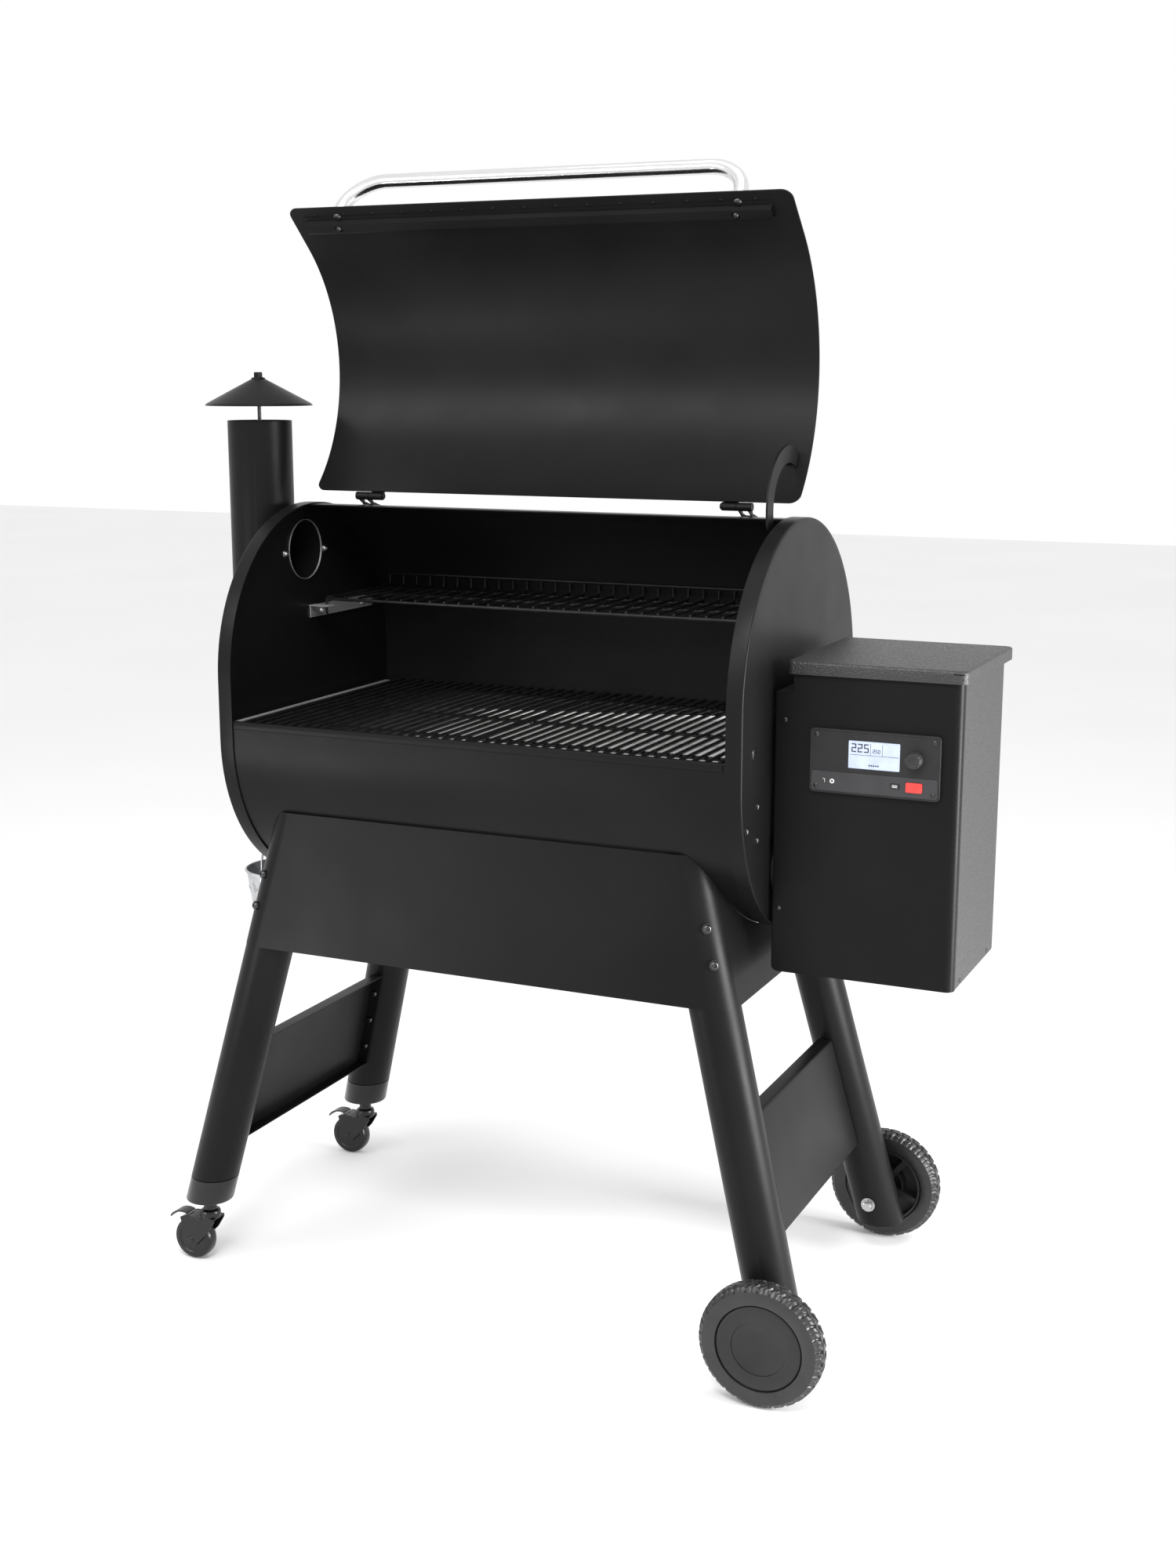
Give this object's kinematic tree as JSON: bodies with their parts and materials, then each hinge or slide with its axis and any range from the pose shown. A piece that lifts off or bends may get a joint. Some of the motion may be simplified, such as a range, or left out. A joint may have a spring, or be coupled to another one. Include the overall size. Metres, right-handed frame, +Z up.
{
  "type": "pellet smoker grill",
  "caption": "Barrel-shaped wood pellet smoker grill on splayed legs with wheels and casters, its lid raised, with a side hopper and controller, a chimney and a grease bucket.",
  "frame": {"origin": "floor level, at the middle of the bounding box's base", "axes": "+Z up, +X from the barrel towards the hopper, -Y towards the cook, who faces the open lid"},
  "size_m": [1.2594, 0.641, 1.6819],
  "materials": {
    "black_powder_coat": "satin powder coat",
    "black_textured_coat": "hammered powder coat",
    "black_enamel": "glossy porcelain enamel",
    "polished_steel": "polished",
    "plain_steel": "plain",
    "galvanised_steel": "galvanised, dull and lightly spangled",
    "black_plastic": "moulded, matt",
    "tyre_rubber": "matt",
    "display_glass": "pale reflective display",
    "red_button": "satin"
  },
  "bodies": {
    "cart": {"barrel_shell": "black_powder_coat", "left_end_panel": "black_powder_coat", "right_end_panel": "black_powder_coat", "hinge_base_left": "black_powder_coat", "hinge_base_right": "black_powder_coat", "rack_bracket_left": "plain_steel", "rack_bracket_right": "plain_steel", "drain_spout": "galvanised_steel", "drip_tray": "black_enamel", "heat_baffle": "black_enamel", "fire_pot": "black_enamel", "auger_tube": "black_enamel", "auger_motor": "plain_steel", "chimney_pipe": "black_powder_coat", "hopper_casing": "black_powder_coat", "pellet_bin": "galvanised_steel", "control_panel": "black_plastic", "lcd_display": "display_glass", "fan_housing": "black_plastic", "power_inlet": "black_plastic", "temperature_probe": "plain_steel", "leg_front_left": "black_powder_coat", "leg_front_right": "black_powder_coat", "leg_rear_left": "black_powder_coat", "leg_rear_right": "black_powder_coat", "skirt_front": "black_powder_coat", "skirt_rear": "black_powder_coat", "side_panel_left": "black_powder_coat", "side_panel_right": "black_powder_coat", "axle_front": "plain_steel", "axle_rear": "plain_steel"},
    "lid": {"lid_shell": "black_powder_coat", "lid_channel": "black_powder_coat", "lid_handle": "polished_steel", "lid_stay": "black_powder_coat", "hinge_leaf_left": "black_powder_coat", "hinge_leaf_right": "black_powder_coat"},
    "hopper_cover": {"hopper_lid": "black_textured_coat"},
    "cleanout": {"cleanout_door": "black_powder_coat"},
    "knob": {"control_knob": "black_plastic"},
    "ignite": {"ignite_button": "red_button"},
    "menu": {"menu_button": "black_plastic"},
    "wheel_front": {"tyre_front": "tyre_rubber", "hub_front": "black_plastic"},
    "wheel_rear": {"tyre_rear": "tyre_rubber", "hub_rear": "black_plastic"},
    "caster_front": {"caster_fork_front": "black_plastic"},
    "caster_rear": {"caster_fork_rear": "black_plastic"},
    "roller_front": {"caster_wheel_front": "black_plastic"},
    "roller_rear": {"caster_wheel_rear": "black_plastic"},
    "brake_front": {"brake_pedal_front": "black_plastic"},
    "brake_rear": {"brake_pedal_rear": "black_plastic"},
    "feed_screw": {"auger": "plain_steel"},
    "fan": {"fan_impeller": "black_plastic"},
    "cap": {"chimney_cap": "black_powder_coat"},
    "bail": {"bucket_bail": "galvanised_steel"},
    "bucket": {"grease_bucket": "galvanised_steel"},
    "grate_left": {"cooking_grate_left": "black_enamel"},
    "grate_right": {"cooking_grate_right": "black_enamel"},
    "rack": {"upper_rack": "black_enamel"}
  },
  "joints": [
    {"name": "lid_hinge", "type": "hinge", "parent": "cart", "child": "lid", "pos_m": [-0.0553, 0.0203, 1.2021], "axis": [1, 0, 0], "range_deg": [0, 132.8]},
    {"name": "hopper_lid_hinge", "type": "hinge", "parent": "cart", "child": "hopper_cover", "pos_m": [0.5047, 0.118, 0.996], "axis": [-1, 0, 0], "range_deg": [0, 100]},
    {"name": "cleanout_slide", "type": "slide", "parent": "cart", "child": "cleanout", "axis": [0, 0, 1], "range_m": [0, 0.055]},
    {"name": "knob_turn", "type": "hinge", "parent": "cart", "child": "knob", "pos_m": [0.5636, -0.1365, 0.8854], "axis": [0, -1, 0], "continuous": true},
    {"name": "ignite_press", "type": "slide", "parent": "cart", "child": "ignite", "axis": [0, 1, 0], "range_m": [0, 0.0015], "stiffness_N_per_m": 600, "springref_m": -0.001},
    {"name": "menu_press", "type": "slide", "parent": "cart", "child": "menu", "axis": [0, 1, 0], "range_m": [0, 0.0015], "stiffness_N_per_m": 600, "springref_m": -0.001},
    {"name": "wheel_spin_front", "type": "hinge", "parent": "cart", "child": "wheel_front", "pos_m": [0.42262, -0.302, 0.09], "axis": [0, 1, 0], "continuous": true},
    {"name": "caster_swivel_front", "type": "hinge", "parent": "cart", "child": "caster_front", "pos_m": [-0.52887, -0.23908, 0.09], "axis": [0, 0, 1], "continuous": true},
    {"name": "caster_roll_front", "type": "hinge", "parent": "caster_front", "child": "roller_front", "pos_m": [-0.55887, -0.23908, 0.034], "axis": [0, 1, 0], "continuous": true},
    {"name": "brake_press_front", "type": "hinge", "parent": "caster_front", "child": "brake_front", "pos_m": [-0.56687, -0.23908, 0.0735], "axis": [0, -1, 0], "range_deg": [0, 12]},
    {"name": "wheel_spin_rear", "type": "hinge", "parent": "cart", "child": "wheel_rear", "pos_m": [0.42262, 0.302, 0.09], "axis": [0, 1, 0], "continuous": true},
    {"name": "caster_swivel_rear", "type": "hinge", "parent": "cart", "child": "caster_rear", "pos_m": [-0.52887, 0.23908, 0.09], "axis": [0, 0, 1], "continuous": true},
    {"name": "caster_roll_rear", "type": "hinge", "parent": "caster_rear", "child": "roller_rear", "pos_m": [-0.55887, 0.23908, 0.034], "axis": [0, 1, 0], "continuous": true},
    {"name": "brake_press_rear", "type": "hinge", "parent": "caster_rear", "child": "brake_rear", "pos_m": [-0.56687, 0.23908, 0.0735], "axis": [0, -1, 0], "range_deg": [0, 12]},
    {"name": "feed_screw_turn", "type": "hinge", "parent": "cart", "child": "feed_screw", "pos_m": [0.0147, 0, 0.685], "axis": [1, 0, 0], "continuous": true},
    {"name": "fan_turn", "type": "hinge", "parent": "cart", "child": "fan", "pos_m": [0.3897, -0.08, 0.705], "axis": [1, 0, 0], "continuous": true},
    {"name": "cap_height", "type": "slide", "parent": "cart", "child": "cap", "axis": [0, 0, 1], "range_m": [-0.02, 0]},
    {"name": "bucket_swing", "type": "hinge", "parent": "cart", "child": "bail", "pos_m": [-0.546, 0.035, 0.655], "axis": [1, 0, 0], "range_deg": [-25, 25]},
    {"name": "bucket_tilt", "type": "hinge", "parent": "bail", "child": "bucket", "pos_m": [-0.546, 0.035, 0.573], "axis": [0, 1, 0], "range_deg": [-20, 20]},
    {"name": "grate_lift_left", "type": "slide", "parent": "cart", "child": "grate_left", "axis": [0, 0, 1], "range_m": [0, 0.04]},
    {"name": "grate_lift_right", "type": "slide", "parent": "cart", "child": "grate_right", "axis": [0, 0, 1], "range_m": [0, 0.04]},
    {"name": "rack_slide", "type": "slide", "parent": "cart", "child": "rack", "axis": [0, -1, 0], "range_m": [0, 0.1]}
  ]
}
